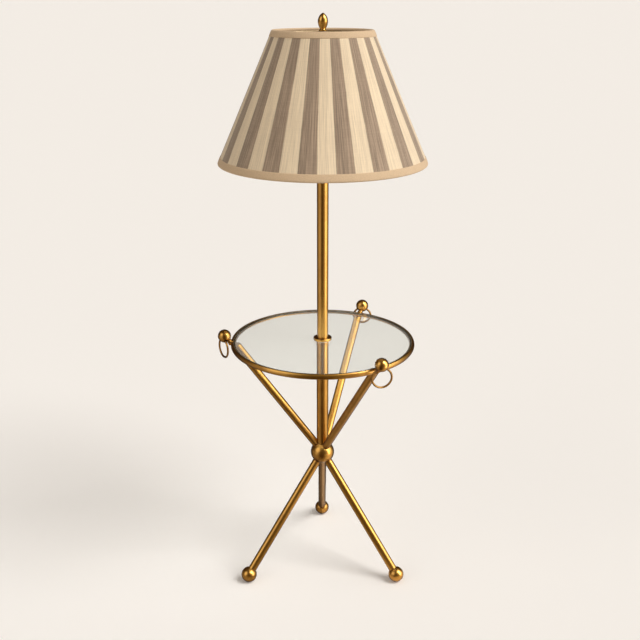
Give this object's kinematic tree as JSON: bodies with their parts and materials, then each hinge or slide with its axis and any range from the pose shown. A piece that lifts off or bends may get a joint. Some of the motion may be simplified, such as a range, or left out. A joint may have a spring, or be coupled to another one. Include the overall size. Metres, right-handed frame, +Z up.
{
  "type": "floor lamp with table",
  "caption": "Brass tripod floor lamp with a round glass table on crossed rods, pull rings through balls at its rim, and a striped cone shade.",
  "frame": {"origin": "on the floor, on the column's centreline", "axes": "+Z up along the column; +X to the right and -Y towards a person who faces the lamp; a leg points straight back, along +Y"},
  "size_m": [0.5105, 0.4952, 1.4188],
  "materials": {
    "aged_brass": "aged, satin, lacquered",
    "bright_brass": "plain",
    "spider_brass": "plated wire",
    "zinc_steel": "zinc plated",
    "bulb_metal": "rolled thread",
    "felt": "felt",
    "black_plastic": "moulded",
    "fibre_sleeve": "pressed fibre",
    "glazing_rubber": "dark, matt",
    "clear_gasket": "clear, soft",
    "table_glass": "clear, bevelled edge",
    "bulb_glass": "frosted",
    "striped_fabric": "linen weave, taupe and cream stripes",
    "trim_tape": "folded tape",
    "white_wire": "coated"
  },
  "bodies": {
    "stand": {"foot_pads": "felt", "foot_ball_right": "aged_brass", "foot_ball_back": "aged_brass", "foot_ball_left": "aged_brass", "leg_right": "aged_brass", "leg_back": "aged_brass", "leg_left": "aged_brass", "leg_plugs": "aged_brass", "studs": "zinc_steel", "hub_ball": "aged_brass", "hub_pipe": "zinc_steel", "cord_outlet": "black_plastic", "rod_front": "aged_brass", "rod_back": "aged_brass", "rod_left": "aged_brass", "rod_plugs": "aged_brass", "rod_caps": "aged_brass", "table_rim": "aged_brass", "glazing_strip": "glazing_rubber", "glass_top": "table_glass", "collar_gasket": "clear_gasket", "glass_collar": "aged_brass", "collar_screw": "zinc_steel", "neck_front": "aged_brass", "neck_back": "aged_brass", "neck_left": "aged_brass", "pull_ball_front": "aged_brass", "pull_ball_back": "aged_brass", "pull_ball_left": "aged_brass", "lower_column": "aged_brass", "column_plug": "aged_brass", "column_coupling": "aged_brass", "upper_column": "aged_brass", "column_cap": "aged_brass", "cap_pipe": "zinc_steel", "harp_saddle": "aged_brass", "harp": "aged_brass", "harp_ferrules": "aged_brass", "holder_cap": "aged_brass", "holder_shell": "aged_brass", "holder_sleeve": "fibre_sleeve", "holder_body": "black_plastic", "screw_shell": "bright_brass", "centre_contact": "bright_brass", "bulb_base": "bulb_metal", "bulb_glass": "bulb_glass"},
    "switch_key": {"switch_key": "aged_brass"},
    "shade": {"shade_fabric": "striped_fabric", "shade_spider": "spider_brass", "shade_bottom_ring": "white_wire", "top_trim": "trim_tape", "bottom_trim": "trim_tape"},
    "finial": {"finial": "aged_brass"},
    "pull_ring_front": {"pull_ring_front": "aged_brass"},
    "pull_ring_back": {"pull_ring_back": "aged_brass"},
    "pull_ring_left": {"pull_ring_left": "aged_brass"}
  },
  "joints": [
    {"name": "ring_front_swing", "type": "hinge", "parent": "stand", "child": "pull_ring_front", "pos_m": [0.13738, -0.20731, 0.6441], "axis": [-0.9711, -0.2385, 0], "range_deg": [-28, 98]},
    {"name": "ring_back_swing", "type": "hinge", "parent": "stand", "child": "pull_ring_back", "pos_m": [0.10876, 0.22366, 0.6441], "axis": [0.9942, -0.108, 0], "range_deg": [-28, 98]},
    {"name": "ring_left_swing", "type": "hinge", "parent": "stand", "child": "pull_ring_left", "pos_m": [-0.24785, -0.01806, 0.6441], "axis": [-0.527, 0.8499, 0], "range_deg": [-18, 98]},
    {"name": "shade_turn", "type": "hinge", "parent": "stand", "child": "shade", "pos_m": [0, 0, 1.379], "axis": [0, 0, 1], "continuous": true},
    {"name": "finial_turn", "type": "hinge", "parent": "stand", "child": "finial", "pos_m": [0, 0, 1.3803], "axis": [0, 0, 1], "continuous": true},
    {"name": "key_turn", "type": "hinge", "parent": "stand", "child": "switch_key", "pos_m": [0, -0.02, 1.1434], "axis": [0, -1, 0], "continuous": true}
  ]
}
